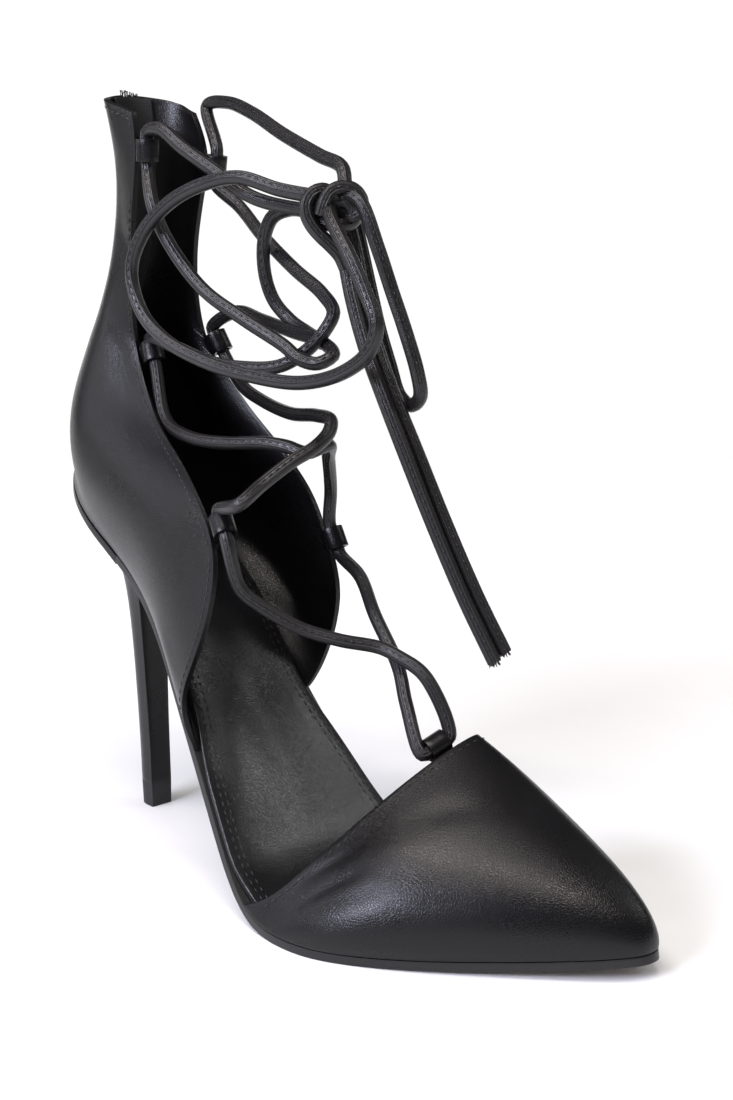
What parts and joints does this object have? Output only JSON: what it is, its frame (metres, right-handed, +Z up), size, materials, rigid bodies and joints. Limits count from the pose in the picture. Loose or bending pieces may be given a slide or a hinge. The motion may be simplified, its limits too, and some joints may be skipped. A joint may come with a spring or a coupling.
{
  "type": "lace up heel",
  "caption": "Black leather-look high heel, right foot: pointed vamp, open waist, high back with a zip, and a lace through side loops tied in a bow.",
  "frame": {"origin": "centre of the heel's top lift, on the floor", "axes": "+X towards the toe, +Y to the inner side of the foot, +Z up"},
  "size_m": [0.2248, 0.0785, 0.2299],
  "materials": {
    "upper_leather": "smooth satin black faux leather",
    "lining": "satin black faux leather",
    "sole": "matte warm grey-brown underside, black edge",
    "top_lift": "matte black",
    "zip_tape": "woven black tape",
    "zip_coil": "fine black coil teeth",
    "zip_metal": "glossy dark",
    "lace": "black faux leather cord with a stitched seam"
  },
  "bodies": {
    "shoe": {"outsole": "sole", "insole": "lining", "heel": "upper_leather", "heel_top_lift": "top_lift", "quarter": "upper_leather", "zip_tape": "zip_tape", "zip_coil": "zip_coil", "zip_slider": "zip_metal", "vamp": "upper_leather", "loop_outer_low": "upper_leather", "loop_outer_middle": "upper_leather", "loop_outer_top": "upper_leather", "loop_inner_low": "upper_leather", "loop_inner_middle": "upper_leather", "loop_inner_top": "upper_leather", "loop_throat": "upper_leather", "lace_front": "lace", "lace_cross_low": "lace", "lace_cross_high": "lace", "lace_top_outer": "lace", "lace_top_inner": "lace", "lace_knot": "lace", "bow_loop_large": "lace", "bow_loop_small": "lace", "lace_end_a": "lace", "lace_end_b": "lace"},
    "pull": {"zip_pull": "zip_metal"}
  },
  "joints": [
    {"name": "zip_pull_swing", "type": "hinge", "parent": "shoe", "child": "pull", "pos_m": [-0.00785, 0.003, 0.22295], "axis": [0, 1, 0], "range_deg": [0, 90]}
  ]
}
